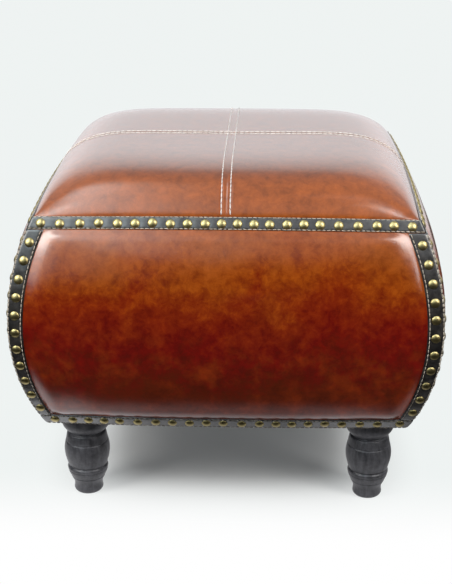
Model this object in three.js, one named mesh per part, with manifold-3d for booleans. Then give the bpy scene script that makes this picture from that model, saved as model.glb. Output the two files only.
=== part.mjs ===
// A square footstool with bulging sides, covered in glossy brown leather, on four turned black legs.
// Strips of black leather, held by brass upholstery nails, frame each of its four faces.
// Millimetres, +Z up. The origin is on the floor under the middle of the stool, and the front faces -Y.
import * as THREE from "three";
import { mergeVertices } from "three/addons/utils/BufferGeometryUtils.js";
import Module from "manifold-3d";

const wasm = await Module();
wasm.setup();

// The body. Every side is one arc from its base to its top seam, and two sides meet at each corner seam.
const BELLY_HALF_WIDTH = 250; // centre of the stool to the corner seam, where the body is widest
const BELLY_HEIGHT = 247;
const SIDE_ARC_RADIUS = 291;
const BASE_HEIGHT = 113;
const TOP_SEAM_HEIGHT = 375.5; // at the corners
const TOP_SEAM_RISE = 3; // how much higher the seam is in the middle of a side
const SIDE_CROWN = 8.2; // how far the middle of a side swells beyond its corners, at the belly
const SEAM_CROWN = 5.5; // the same at the base and at the top seam

// The seat.
const SEAT_CROWN = 48; // rise of the cushion above the top seam
const SEAT_SQUARENESS = 7; // the higher it is, the flatter the seat and the steeper its edge
const SEAM_GAP = 0.4; // between two seat panels
const SEAT_SHARES = [0, 0.3, 0.55, 0.72, 0.84, 0.92, 0.97, 1]; // grid lines, from the middle to the edge

// Clearances.
const FIT = 0.3; // between two pieces that touch
const FRAME_GAP = 0.8; // between the bent boards and the frame they are nailed to

// Covers, padding and boards, from the outside in.
const LEATHER = 1.4;
const PAD_EDGE = 2.5; // the foam at a corner, where it is thinnest
const BENT_BOARD = 4;
const FACE_COLUMNS = 8;
const FACE_ROWS = 8;

// Black leather strips and the nails that hold them.
const BAND_WIDTH = 15; // along the top and the base
const BAND_THICKNESS = 1.3;
const CORNER_BAND_WIDTH = 17.8; // beside a corner seam, at the belly
const CORNER_BAND_TAPER_SHARE = 0.25; // how much of that it gains from the belly upwards, and loses below it
const NAIL_RADIUS = 5.6;
const NAIL_HEIGHT = 3.2;
const NAIL_SHOULDER_RADIUS = 4.4;
const NAIL_SHOULDER_HEIGHT = 1.7;
const NAIL_SIDES = 6;
const NAIL_PITCH_ACROSS = 20.4;
const NAIL_PITCH_CORNER = 22;
const NAIL_END_INSET = 13; // corner seam to the last nail of the top and bottom strips
const NAIL_CORNER_INSET = 10.4; // corner seam to the nails beside it
const NAIL_LINK_WIDTH = 0.9; // the nails of a face are one solid, joined by thin links

// The frame.
const DECK_DROP = 3; // top seam down to the seat deck
const DECK_THICKNESS = 18;
const BASE_BOARD_THICKNESS = 18;
const POST_SIZE = 50;
const POST_LEVELS = 6;
const DUST_COVER_THICKNESS = 1;
const DUST_COVER_INSET = 3;

// A turned leg. Its outline goes from the foot up, in shares of the leg's radius and of its height.
const LEG_INSET = 40; // corner seam to a leg's axis at the base, along X and along Y
const LEG_RADIUS = 28.5; // at its belly
const LEG_SIDES = 16;
const LEG_OUTLINE_SHARES = [
  [0.56, 0],
  [0.64, 0.033],
  [0.62, 0.09],
  [0.635, 0.12],
  [0.75, 0.184],
  [0.865, 0.258],
  [0.895, 0.3],
  [0.88, 0.316],
  [0.828, 0.33],
  [0.885, 0.355],
  [0.944, 0.408],
  [0.99, 0.48],
  [1, 0.525],
  [0.98, 0.577],
  [0.93, 0.63],
  [0.875, 0.69],
  [0.775, 0.71],
  [0.78, 0.725],
  [0.86, 0.745],
  [0.96, 0.785],
  [1.045, 0.83],
  [1.075, 0.88],
  [1.075, 1],
];

// Hanger bolts, and the threaded inserts in the base board that take them.
const BOLT_RADIUS = 4;
const BOLT_POINT = 6; // length of its tapered end
const BOLT_IN_LEG = 42;
const BOLT_CLEARANCE = 0.3;
const BOLT_SIDES = 12;
const INSERT_RADIUS = 6;
const INSERT_LENGTH = 16;

// The corner seam's height and its distance from the middle, at an angle up the side arc.
const seamHeight = (angle, out) => BELLY_HEIGHT + (SIDE_ARC_RADIUS + out) * Math.sin(angle);
const seamHalf = (angle, out) =>
  BELLY_HALF_WIDTH - SIDE_ARC_RADIUS + (SIDE_ARC_RADIUS + out) * Math.cos(angle);
const angleAt = (height, out) => Math.asin((height - BELLY_HEIGHT) / (SIDE_ARC_RADIUS + out));
const halfAt = (height, out) => seamHalf(angleAt(height, out), out);
const arc = (length) => length / SIDE_ARC_RADIUS;

// How far each layer lies outside the face of the leather. Inside it, the distance is negative.
const padFront = -LEATHER - FIT;
const padBack = padFront - PAD_EDGE;
const boardFront = padBack - FIT;
const boardBack = boardFront - BENT_BOARD;
const frameFace = boardBack - FRAME_GAP;
const bandBack = FIT;
const bandFront = bandBack + BAND_THICKNESS;
const nailBack = bandFront + FIT;

const deckTop = TOP_SEAM_HEIGHT - DECK_DROP;
const deckBottom = deckTop - DECK_THICKNESS;
const baseBoardBottom = BASE_HEIGHT + DUST_COVER_THICKNESS + FIT;
const baseBoardTop = baseBoardBottom + BASE_BOARD_THICKNESS;
const legTop = BASE_HEIGHT - FIT;
const legPlace = halfAt(BASE_HEIGHT, 0) - LEG_INSET; // the stool's centre to a leg's axis

const leather = new THREE.MeshStandardMaterial({ color: 0x8a3a14, roughness: 0.3 });
const blackLeather = new THREE.MeshStandardMaterial({ color: 0x1b1d24, roughness: 0.45 });
const brass = new THREE.MeshStandardMaterial({ color: 0xa08a3c, roughness: 0.35, metalness: 1 });
const blackWood = new THREE.MeshStandardMaterial({ color: 0x2b2a2e, roughness: 0.55 });
const pine = new THREE.MeshStandardMaterial({ color: 0xc9a572, roughness: 0.8 });
const plywood = new THREE.MeshStandardMaterial({ color: 0xb8905c, roughness: 0.8 });
const foam = new THREE.MeshStandardMaterial({ color: 0xe8dfb8, roughness: 0.95 });
const lining = new THREE.MeshStandardMaterial({ color: 0x18181a, roughness: 0.95 });
const steel = new THREE.MeshStandardMaterial({ color: 0xb4b6ba, roughness: 0.4, metalness: 1 });

const stool = new THREE.Group();

function place(name, geometry, material, parent = stool) {
  const mesh = new THREE.Mesh(geometry, material);
  mesh.name = name;
  parent.add(mesh);
  return mesh;
}

// A closed solid between two grids of points with the same rows and columns.
// Seen from outside, the columns run to the right and the rows run up.
function slab(outer, inner) {
  const rows = outer.length;
  const columns = outer[0].length;
  const front = (row, column) => row * columns + column;
  const back = (row, column) => rows * columns + front(row, column);
  const index = [];
  const quad = (a, b, c, d) => index.push(a, b, c, a, c, d);
  for (let r = 0; r < rows - 1; r++) {
    for (let c = 0; c < columns - 1; c++) {
      quad(front(r, c), front(r, c + 1), front(r + 1, c + 1), front(r + 1, c));
      quad(back(r, c), back(r + 1, c), back(r + 1, c + 1), back(r, c + 1));
    }
  }
  const lastRow = rows - 1;
  const lastColumn = columns - 1;
  for (let c = 0; c < lastColumn; c++) {
    quad(front(0, c), back(0, c), back(0, c + 1), front(0, c + 1));
    quad(front(lastRow, c), front(lastRow, c + 1), back(lastRow, c + 1), back(lastRow, c));
  }
  for (let r = 0; r < lastRow; r++) {
    quad(front(r, 0), front(r + 1, 0), back(r + 1, 0), back(r, 0));
    quad(front(r, lastColumn), back(r, lastColumn), back(r + 1, lastColumn), front(r + 1, lastColumn));
  }
  const points = [...outer.flat(), ...inner.flat()];
  return new THREE.BufferGeometry().setFromPoints(points).setIndex(index);
}

// A geometry as a solid that can be cut and joined, and back again.
function solidOf(geometry) {
  const bare = geometry.clone();
  bare.deleteAttribute("normal");
  bare.deleteAttribute("uv");
  const merged = mergeVertices(bare);
  return new wasm.Manifold(
    new wasm.Mesh({
      numProp: 3,
      vertProperties: new Float32Array(merged.attributes.position.array),
      triVerts: new Uint32Array(merged.index.array),
    }),
  );
}

function geometryOf(solid) {
  const mesh = solid.getMesh();
  const geometry = new THREE.BufferGeometry();
  geometry.setAttribute("position", new THREE.BufferAttribute(mesh.vertProperties, 3));
  geometry.setIndex(new THREE.BufferAttribute(mesh.triVerts, 1));
  geometry.computeVertexNormals();
  return geometry;
}

// A turned piece with its axis along +Z, from an outline of [radius, height] points.
function turned(outline, sides) {
  const points = outline.map(([radius, height]) => new THREE.Vector2(radius, height));
  return new THREE.LatheGeometry(points, sides).rotateX(Math.PI / 2);
}

// Evenly spaced values, with both ends.
const spread = (from, to, steps) =>
  Array.from({ length: steps + 1 }, (_, i) => from + ((to - from) * i) / steps);

const baseAngle = angleAt(BASE_HEIGHT, 0);
const topAngle = (across) =>
  angleAt(TOP_SEAM_HEIGHT, 0) + arc(TOP_SEAM_RISE) * (1 - across * across);

// How far a side swells in its middle: most at the belly, least at the base and at the top seam.
function crownAt(angle) {
  const climb = angle / (angle > 0 ? topAngle(1) : baseAngle);
  return SEAM_CROWN + (SIDE_CROWN - SEAM_CROWN) * (1 - climb * climb);
}

// A point of the front face. across runs from -1 at its left corner seam to 1 at its right one.
function facePoint(across, angle, out, crowned = true) {
  const half = seamHalf(angle, out);
  const swell = crowned ? crownAt(angle) * (1 - across * across) : 0;
  return new THREE.Vector3(across * half, -half - swell, seamHeight(angle, out));
}

// A layer of the front face between two distances from the leather's face.
// It stops short of the corner seams by a clearance, and its rows are angles up the arc.
function faceLayer(outFront, outBack, crownedFront, crownedBack, rows, columns) {
  const grid = (out, crowned) =>
    rows.map((row) =>
      spread(-1, 1, columns).map((share) => {
        const angle = row(share);
        return facePoint(share * (1 - FIT / seamHalf(angle, out)), angle, out, crowned);
      }),
    );
  return slab(grid(outFront, crownedFront), grid(outBack, crownedBack));
}

// The three layers share their rows, so that they lie flat on one another. The cover goes one row higher.
// The foam swells to the side's crown, and the bent board behind it is flat from corner to corner.
const innerRows = spread(baseAngle, angleAt(deckTop - FIT, 0), FACE_ROWS).map((angle) => () => angle);
const coverRows = [...innerRows, (share) => topAngle(share) - arc(LEATHER + 2 * FIT)];
const cover = () => faceLayer(0, -LEATHER, true, true, coverRows, FACE_COLUMNS);
const pad = () => faceLayer(padFront, padBack, true, false, innerRows, FACE_COLUMNS);
const bentBoard = () => faceLayer(boardFront, boardBack, false, false, innerRows, 1);

// The strip along a face's top or bottom edge, from one corner seam to the other.
function edgeBand(low, high) {
  const grid = (out) =>
    [low, high].map((edge) =>
      spread(-1, 1, FACE_COLUMNS).map((share) => {
        const angle = edge(share);
        return facePoint(share * (1 - FIT / seamHalf(angle, out)), angle, out);
      }),
    );
  return slab(grid(bandFront), grid(bandBack));
}
const topBand = () => edgeBand((share) => topAngle(share) - arc(BAND_WIDTH), topAngle);
const bottomBand = () => edgeBand(() => baseAngle, () => baseAngle + arc(BAND_WIDTH));

// Nails run round each face along the middle of its strips, one at each end of a strip.
const middleOfTop = (across) => topAngle(across) - arc(BAND_WIDTH / 2);
const middleOfBottom = baseAngle + arc(BAND_WIDTH / 2);
const nailAcross = (angle, inset) => 1 - inset / seamHalf(angle, 0);
const gapsAcross = (angle) =>
  Math.round((2 * (seamHalf(angle, 0) - NAIL_END_INSET)) / NAIL_PITCH_ACROSS);
const cornerArc = SIDE_ARC_RADIUS * (middleOfTop(1) - middleOfBottom);
const cornerGaps = Math.round(cornerArc / NAIL_PITCH_CORNER);

// The strip up a face's left (-1) or right (1) corner seam, between the top and bottom strips.
// It is widest at the top.
function cornerBand(side) {
  const low = baseAngle + arc(BAND_WIDTH + FIT);
  const outerEdge = () => FIT;
  const innerEdge = (angle) => CORNER_BAND_WIDTH * (1 + CORNER_BAND_TAPER_SHARE * Math.sin(angle));
  const edges = side > 0 ? [innerEdge, outerEdge] : [outerEdge, innerEdge];
  const grid = (out) =>
    spread(0, 1, cornerGaps).map((up) =>
      edges.map((inset) => {
        const acrossAt = (angle) => side * (1 - inset(angle) / seamHalf(angle, out));
        const high = topAngle(acrossAt(topAngle(1))) - arc(BAND_WIDTH + FIT);
        const angle = low + (high - low) * up;
        return facePoint(acrossAt(angle), angle, out);
      }),
    );
  return slab(grid(bandFront), grid(bandBack));
}

// One nail head's place: its point on the strip, and the way it faces.
function nailSpot(across, angle) {
  const slope = (2 * crownAt(angle) * across) / seamHalf(angle, 0);
  const facing = new THREE.Vector3(slope * Math.cos(angle), -Math.cos(angle), Math.sin(angle));
  return { point: facePoint(across, angle, nailBack), facing: facing.normalize() };
}

// Every nail of one face, in order round it, from the top left corner.
function nailSpots() {
  const topEnd = nailAcross(middleOfTop(1), NAIL_END_INSET);
  const bottomEnd = nailAcross(middleOfBottom, NAIL_END_INSET);
  const ups = spread(middleOfBottom, middleOfTop(1), cornerGaps).slice(1, -1);
  const corner = (side) => (angle) => nailSpot(side * nailAcross(angle, NAIL_CORNER_INSET), angle);
  return [
    ...spread(-topEnd, topEnd, gapsAcross(middleOfTop(1))).map((a) => nailSpot(a, middleOfTop(a))),
    ...[...ups].reverse().map(corner(1)),
    ...spread(bottomEnd, -bottomEnd, gapsAcross(middleOfBottom)).map((a) => nailSpot(a, middleOfBottom)),
    ...ups.map(corner(-1)),
  ];
}

// The nail heads of one face, in one solid. A head has a ring of points at its base, another at its
// shoulder, and a crown. Towards each neighbour, a thin three-sided link leaves its base.
function nails() {
  const spots = nailSpots();
  const points = [];
  const index = [];
  const quad = (a, b, c, d) => index.push(a, b, c, a, c, d);
  const lean = Math.asin(NAIL_LINK_WIDTH / 2 / NAIL_RADIUS);
  const heads = spots.map(({ point, facing }, i) => {
    const next = spots[(i + 1) % spots.length].point.clone().sub(point);
    const last = spots[(i + spots.length - 1) % spots.length].point.clone().sub(point);
    const side = facing.clone().cross(next).normalize();
    const ahead = side.clone().cross(facing);
    const full = 2 * Math.PI;
    const back = (Math.atan2(last.dot(side), last.dot(ahead)) + full) % full;
    const add = (angle, radius, height) => {
      const spot = point.clone().addScaledVector(facing, height);
      spot.addScaledVector(ahead, radius * Math.cos(angle)).addScaledVector(side, radius * Math.sin(angle));
      return points.push(spot) - 1;
    };
    const crown = add(0, 0, NAIL_HEIGHT);
    const crests = [0, back].map((angle) => add(angle, NAIL_SHOULDER_RADIUS, NAIL_SHOULDER_HEIGHT));
    const base = [];
    [[0, back], [back, full]].forEach(([from, to], half) => {
      const steps = Math.round((to - from) / (full / NAIL_SIDES));
      const angles = spread(from, to, steps).slice(1, -1);
      const low = [from + lean, ...angles, to - lean].map((angle) => add(angle, NAIL_RADIUS, 0));
      const middle = angles.map((angle) => add(angle, NAIL_SHOULDER_RADIUS, NAIL_SHOULDER_HEIGHT));
      const high = [crests[half], ...middle, crests[1 - half]];
      for (let k = 0; k < steps; k++) {
        quad(low[k], low[k + 1], high[k + 1], high[k]);
        index.push(high[k], high[k + 1], crown);
      }
      base.push(...low);
    });
    for (let k = 1; k < base.length - 1; k++) index.push(base[0], base[k + 1], base[k]);
    const turn = base.findIndex((_, k) => k > 0 && base[k] - base[k - 1] > 1);
    return {
      out: { left: base[0], right: base[base.length - 1], crest: crests[0] },
      in: { left: base[turn - 1], right: base[turn], crest: crests[1] },
    };
  });
  heads.forEach(({ out: a }, i) => {
    const b = heads[(i + 1) % heads.length].in;
    quad(a.crest, b.crest, b.left, a.left);
    quad(a.right, b.right, b.crest, a.crest);
    quad(a.left, b.left, b.right, a.right);
  });
  return new THREE.BufferGeometry().setFromPoints(points).setIndex(index);
}

const FACES = ["front", "right", "back", "left"];
FACES.forEach((face, turn) => {
  const group = new THREE.Group();
  group.rotation.z = (turn * Math.PI) / 2;
  stool.add(group);
  place(face + "_cover", cover(), leather, group);
  place(face + "_pad", pad(), foam, group);
  place(face + "_board", bentBoard(), plywood, group);
  place(face + "_top_band", topBand(), blackLeather, group);
  place(face + "_bottom_band", bottomBand(), blackLeather, group);
  place(face + "_left_band", cornerBand(-1), blackLeather, group);
  place(face + "_right_band", cornerBand(1), blackLeather, group);
  place(face + "_nails", nails(), brass, group);
});

// The seat's surface. u runs along X and v along Y, each from -1 to 1 at the top seam.
function seatPoint(u, v) {
  const reach = (share) => -facePoint(share, topAngle(share), 0).y;
  const rise = (share) => 1 - Math.abs(share) ** SEAT_SQUARENESS;
  const seamU = seamHeight(topAngle(u), 0) - TOP_SEAM_HEIGHT;
  const seamV = seamHeight(topAngle(v), 0) - TOP_SEAM_HEIGHT;
  const height = TOP_SEAM_HEIGHT + seamU * v * v + seamV * u * u + SEAT_CROWN * rise(u) * rise(v);
  return new THREE.Vector3(u * reach(v), v * reach(u), height);
}

// A point under the seat's surface, by its depth along the surface's normal.
function underSeat(u, v, depth) {
  const step = 1e-4;
  const alongU = seatPoint(u + step, v).sub(seatPoint(u - step, v));
  const alongV = seatPoint(u, v + step).sub(seatPoint(u, v - step));
  return seatPoint(u, v).addScaledVector(alongU.cross(alongV).normalize(), -depth);
}

// A quarter of the seat's cover, sewn to its neighbours along the two middle lines.
function seatPanel() {
  const half = seamHalf(topAngle(1), 0);
  const lines = SEAT_SHARES.map((share) => -Math.max(share, SEAM_GAP / 2 / half)).reverse();
  const grid = (depth) => lines.map((v) => lines.map((u) => underSeat(u, v, depth)));
  return slab(grid(0), grid(LEATHER));
}

// The foam ends a little inside the top seam, clear of the side covers.
function seatFoam() {
  const last = 1 - (2 * LEATHER) / seamHalf(topAngle(1), 0);
  const shares = SEAT_SHARES.map((share) => Math.min(share, last));
  const lines = [...shares.slice(1).map((share) => -share).reverse(), ...shares];
  const top = lines.map((v) => lines.map((u) => underSeat(u, v, LEATHER + FIT)));
  const bottom = top.map((row) => row.map(({ x, y }) => new THREE.Vector3(x, y, deckTop + FIT)));
  return slab(top, bottom);
}

// A square board whose edges are bevelled to lie along the bent boards.
function frameBoard(bottom, top) {
  const corner = (height) => Math.SQRT2 * halfAt(height, frameFace);
  return new THREE.CylinderGeometry(corner(top), corner(bottom), top - bottom, 4)
    .rotateY(Math.PI / 4)
    .rotateX(Math.PI / 2)
    .translate(0, 0, (bottom + top) / 2);
}

// Cuts the four holes over the legs through a board.
function withLegHoles(geometry, radius, bottom, top) {
  let solid = solidOf(geometry);
  for (const x of [-legPlace, legPlace]) {
    for (const y of [-legPlace, legPlace]) {
      const hole = new THREE.CylinderGeometry(radius, radius, 2 * (top - bottom), BOLT_SIDES);
      solid = solid.subtract(solidOf(hole.rotateX(Math.PI / 2).translate(x, y, (bottom + top) / 2)));
    }
  }
  return geometryOf(solid);
}

function baseBoard() {
  const board = frameBoard(baseBoardBottom, baseBoardTop);
  return withLegHoles(board, INSERT_RADIUS + FIT, baseBoardBottom, baseBoardTop);
}

function dustCover() {
  const side = 2 * (halfAt(baseBoardBottom, frameFace) - DUST_COVER_INSET);
  const top = BASE_HEIGHT + DUST_COVER_THICKNESS;
  const sheet = new THREE.BoxGeometry(side, side, DUST_COVER_THICKNESS);
  sheet.translate(0, 0, (BASE_HEIGHT + top) / 2);
  return withLegHoles(sheet, BOLT_RADIUS + 2 * BOLT_CLEARANCE, BASE_HEIGHT, top);
}

place("seat_foam", seatFoam(), foam);
place("seat_deck", frameBoard(deckBottom, deckTop), plywood);
place("base_board", baseBoard(), plywood);
place("dust_cover", dustCover(), lining);

// The front left corner post, sawn to the curve of both sides.
function cornerPost() {
  const row = (depth) =>
    spread(baseBoardTop + FIT, deckBottom - FIT, POST_LEVELS).map((height) => {
      const out = halfAt(height, frameFace);
      return [-out, POST_SIZE - out].map((x) => new THREE.Vector3(x, depth - out, height));
    });
  return slab(row(0), row(POST_SIZE));
}

// A leg, with a blind hole for its bolt.
function leg() {
  const outline = LEG_OUTLINE_SHARES.map(([radius, height]) => [radius * LEG_RADIUS, height * legTop]);
  const bore = BOLT_RADIUS + BOLT_CLEARANCE;
  const boreEnd = legTop - BOLT_IN_LEG - FIT;
  return turned([[0, 0], ...outline, [bore, legTop], [bore, boreEnd], [0, boreEnd]], LEG_SIDES);
}

// A hanger bolt: a tapered point in the leg, a machine thread in the insert.
function legBolt() {
  const low = legTop - BOLT_IN_LEG;
  const high = baseBoardBottom + INSERT_LENGTH;
  return turned([
    [0, low],
    [BOLT_RADIUS / 2, low],
    [BOLT_RADIUS, low + BOLT_POINT],
    [BOLT_RADIUS, high],
    [0, high],
  ], BOLT_SIDES);
}

function legInsert() {
  const low = baseBoardBottom;
  const bore = BOLT_RADIUS + BOLT_CLEARANCE;
  return turned([
    [bore, low],
    [INSERT_RADIUS, low],
    [INSERT_RADIUS, low + INSERT_LENGTH],
    [bore, low + INSERT_LENGTH],
    [bore, low],
  ], BOLT_SIDES);
}

const CORNERS = ["front_left", "front_right", "back_right", "back_left"];
CORNERS.forEach((corner, turn) => {
  const group = new THREE.Group();
  group.rotation.z = (turn * Math.PI) / 2;
  stool.add(group);
  place("seat_panel_" + corner, seatPanel(), leather, group);
  place("corner_post_" + corner, cornerPost(), pine, group);
  const upright = new THREE.Group();
  upright.position.set(-legPlace, -legPlace, 0);
  group.add(upright);
  place("leg_" + corner, leg(), blackWood, upright);
  place("leg_bolt_" + corner, legBolt(), steel, upright);
  place("leg_insert_" + corner, legInsert(), steel, upright);
});

export default stool;
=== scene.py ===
# A square footstool with bulging sides, upholstered in glossy antiqued brown leather.
# Strips of black leather held by brass nails frame its four faces, and it stands on four turned legs.
# Metres, +Z up, with the front towards -Y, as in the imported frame.
import math
import random

import bmesh
import bpy
from mathutils import Matrix, Vector, noise


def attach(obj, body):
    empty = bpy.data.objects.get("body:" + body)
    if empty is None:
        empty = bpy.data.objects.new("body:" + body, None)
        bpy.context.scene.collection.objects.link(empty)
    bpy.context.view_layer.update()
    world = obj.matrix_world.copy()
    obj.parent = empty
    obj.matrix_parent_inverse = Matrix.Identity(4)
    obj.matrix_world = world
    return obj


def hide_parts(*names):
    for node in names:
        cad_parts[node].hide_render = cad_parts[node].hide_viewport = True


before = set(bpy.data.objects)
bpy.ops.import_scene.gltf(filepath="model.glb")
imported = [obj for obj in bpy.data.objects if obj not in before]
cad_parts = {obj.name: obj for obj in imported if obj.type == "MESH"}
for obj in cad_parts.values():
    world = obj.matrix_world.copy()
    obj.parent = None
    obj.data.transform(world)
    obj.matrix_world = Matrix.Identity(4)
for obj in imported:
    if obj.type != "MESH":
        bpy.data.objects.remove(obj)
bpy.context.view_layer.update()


# Wooden frame
# Four pine corner posts stand on a plywood base and carry a plywood deck. Thin plywood is bent
# round the outside of the posts to give each side its curve. All of it is closed in by the upholstery.
CORNERS = {"front_left": (-1, -1), "front_right": (1, -1), "back_right": (1, 1), "back_left": (-1, 1)}
SIDES = ["front", "right", "back", "left"]
FRAME_NODES = {
    "pine": ["corner_post_" + corner for corner in CORNERS],
    "plywood": [side + "_board" for side in SIDES] + ["seat_deck", "base_board"],
}
RAW_WOOD = {
    "pine": ((0.62, 0.42, 0.22, 1), (0.42, 0.23, 0.09, 1)),
    "plywood": ((0.52, 0.35, 0.18, 1), (0.36, 0.21, 0.09, 1)),
}  # the pale wood and its dark streaks
RAW_GRAIN_SCALE = 90
STREAK_STRETCH = (1, 1, 0.06)  # streaks are long along Z


def connect(tree, node, inputs):
    """Sets inputs of a node, each by its name or number, to a value or to a socket to link."""
    for name, value in inputs.items():
        if isinstance(value, bpy.types.NodeSocket):
            tree.links.new(value, node.inputs[name])
        else:
            node.inputs[name].default_value = value


def add_node(tree, kind, inputs=None, **settings):
    """A shader node with its settings and its inputs."""
    node = tree.nodes.new(kind)
    for name, value in settings.items():
        setattr(node, name, value)
    connect(tree, node, inputs or {})
    return node


def cloudy(tree, place, scale, detail, roughness=0.5, distortion=0, result="Fac"):
    """A noise texture, as a value or as a colour."""
    inputs = {"Vector": place, "Scale": scale, "Detail": detail}
    inputs |= {"Roughness": roughness, "Distortion": distortion}
    return add_node(tree, "ShaderNodeTexNoise", inputs).outputs[result]


def stretched(tree, place, scale):
    """Coordinates times a scale along each axis."""
    return add_node(tree, "ShaderNodeMapping", {"Vector": place, "Scale": scale}).outputs["Vector"]


def color_ramp(tree, factor, stops):
    """A colour ramp with stops of (position, colour)."""
    node = add_node(tree, "ShaderNodeValToRGB", {"Fac": factor})
    ramp = node.color_ramp
    while len(ramp.elements) < len(stops):
        ramp.elements.new(0.5)
    for element, (position, color) in zip(ramp.elements, stops):
        element.position = position
        element.color = color
    return node.outputs["Color"]


def bumped(tree, surface, height, strength, distance):
    """Shades a surface as if it had the given heights."""
    bump = add_node(tree, "ShaderNodeBump", {"Height": height, "Strength": strength, "Distance": distance})
    connect(tree, surface, {"Normal": bump.outputs["Normal"]})
    return bump.outputs["Normal"]


def finished(tree, surface, color, roughness, metallic=0, coat=0, coat_roughness=0.03, coat_ior=1.5):
    """Gives a surface its colour and its roughness, and a clear coat."""
    inputs = {"Base Color": color, "Roughness": roughness, "Metallic": metallic, "Coat Weight": coat}
    connect(tree, surface, inputs | {"Coat Roughness": coat_roughness, "Coat IOR": coat_ior})


def new_material(name):
    """A material with its tree, its Principled BSDF and the object coordinates."""
    material = bpy.data.materials.new(name)
    material.use_nodes = True
    tree = material.node_tree
    place = add_node(tree, "ShaderNodeTexCoord").outputs["Object"]
    return material, tree, tree.nodes["Principled BSDF"], place


def effect_group(name, result):
    """An empty node group, with the Vector and the Scale that it takes and the value that it puts out."""
    group = bpy.data.node_groups.new(name, "ShaderNodeTree")
    group.interface.new_socket("Vector", in_out="INPUT", socket_type="NodeSocketVector")
    group.interface.new_socket("Scale", in_out="INPUT", socket_type="NodeSocketFloat")
    group.interface.new_socket(result, in_out="OUTPUT", socket_type="NodeSocketFloat")
    start, end = add_node(group, "NodeGroupInput"), add_node(group, "NodeGroupOutput")
    return group, start.outputs["Vector"], start.outputs["Scale"], end.inputs[result]


def effect(tree, group, place, scale):
    """The value that a node group puts out in a material."""
    return add_node(tree, "ShaderNodeGroup", {"Vector": place, "Scale": scale}, node_tree=group).outputs[0]


def wood_grain_group():
    """Streaks that run along Z, from 0 in the pale wood to 1 in a dark streak."""
    group, vector, scale, streaks = effect_group("wood grain", "Streaks")
    drawn = stretched(group, vector, STREAK_STRETCH)
    group.links.new(cloudy(group, drawn, scale, 5, distortion=0.6), streaks)
    return group


wood_grain = wood_grain_group()


def raw_wood(name, pale, dark):
    """Sawn wood without a finish."""
    material, tree, surface, place = new_material(name)
    streaks = effect(tree, wood_grain, place, RAW_GRAIN_SCALE)
    color = color_ramp(tree, streaks, [(0.35, pale), (0.65, dark)])
    finished(tree, surface, color, 0.75)
    bumped(tree, surface, streaks, strength=0.3, distance=0.0005)
    return material


def refinish(name, material):
    """Gives a node of the frame its material."""
    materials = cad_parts[name].data.materials
    materials.clear()
    materials.append(material)


for wood, names in FRAME_NODES.items():
    material = raw_wood("raw " + wood, *RAW_WOOD[wood])
    for name in names:
        refinish(name, material)


# Side cushions
# Each side is a hide of glossy brown leather stretched over thin foam. It follows one arc from the base
# to the top seam and swells between its corners, and it rolls down under the black strips at its edges.
BELLY_HALF = 0.250
BELLY_HEIGHT = 0.247
ARC_RADIUS = 0.291
BASE_HEIGHT = 0.113
SEAM_HEIGHT = 0.3755
SEAM_RISE = 0.003
SIDE_CROWN = 0.0082  # how far a side swells at the belly
SEAM_CROWN = 0.0055  # and at its seams
COVER_TOP = 0.002  # the leather ends this far under the top seam
GAP = 0.0003  # between pieces that lie side by side
BAND_WIDTH = 0.015
CORNER_BANDS = {-1: (0.0160, 0.46), 1: (0.0178, 0.25)}  # left and right: width at the belly, and its taper
PAD_BACK = -0.0042
SIDE_PUFF = 0.0045
CORNER_ROLL = (0.017, 0.036)  # width of the rolled edge beside a corner strip, at the base and at the top
CORNER_FULLNESS = (1.5, 2.0)  # and how full it is there
TOP_ROLL = 0.012  # its width along the top strip
BASE_ROLL = 0.013  # and along the bottom strip
HELD_EDGE = 0.001  # the strips hold the leather this far beside them
SIDE_COLUMNS = 92
SIDE_ROWS = 60
FINER_ENDS = 0.3
CLOTH = {
    "quality": 5, "mass": 0.3, "tension_stiffness": 30, "compression_stiffness": 30, "shear_stiffness": 15,
    "bending_stiffness": 6, "vertex_group_mass": "held", "use_pressure": True, "uniform_pressure_force": 3,
}
CLOTH_STEPS = 20
SMOOTHING = 12
# The leather's colour by height. Its brown is the leather's own; its darkening and reddening towards the
# floor is painted shade.
HIDE_DYE_AND_PAINTED_SHADE = [
    (0.165, (0.135, 0.014, 0.0005, 1)),
    (0.195, (0.142, 0.0062, 0.0004, 1)),
    (0.235, (0.175, 0.0030, 0.0003, 1)),
    (0.28, (0.225, 0.019, 0.0006, 1)),
    (0.32, (0.305, 0.058, 0.002, 1)),
    (0.36, (0.315, 0.073, 0.007, 1)),
    (0.41, (0.345, 0.084, 0.011, 1)),
]  # the colour at a height in metres
WORN_DYE = (0.235, 0.026, 0.0006, 1)  # in patches of the lower half
WORN_LOW = (0.27, 0.20)  # they appear between these heights
CLOUD_DRIFT = 0.06  # how far the clouds shift the dye up and down
MOTTLE_DRIFT = 0.075  # and the fine mottling
MOTTLE_SHADE = (0.72, 1.2)  # how dark and how pale the mottling is
SEAT_FLAT = (0.408, 0.423)  # heights between which the side turns into the flat of the seat
SEAT_PAINTED_SHADE = 0.42  # painted shade: the leather is drawn this much darker there
HIDE_GRAIN_SCALE = 620


def seam_half(angle, out=0.0):
    """Half the width between the corner seams, at an angle up the side arc."""
    return BELLY_HALF - ARC_RADIUS + (ARC_RADIUS + out) * math.cos(angle)


def angle_at(height):
    return math.asin((height - BELLY_HEIGHT) / ARC_RADIUS)


BASE_ANGLE = angle_at(BASE_HEIGHT)


def top_angle(across):
    return angle_at(SEAM_HEIGHT) + SEAM_RISE / ARC_RADIUS * (1 - across * across)


def crown_at(angle):
    climb = angle / (top_angle(1) if angle > 0 else BASE_ANGLE)
    return SEAM_CROWN + (SIDE_CROWN - SEAM_CROWN) * (1 - climb * climb)


def on_side(across, angle, out, crowned=True):
    """A point of the front face. across goes from -1 at its left corner seam to 1 at its right one."""
    half = seam_half(angle, out)
    swell = crown_at(angle) * (1 - across * across) if crowned else 0
    return Vector((across * half, -half - swell, BELLY_HEIGHT + (ARC_RADIUS + out) * math.sin(angle)))


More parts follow.
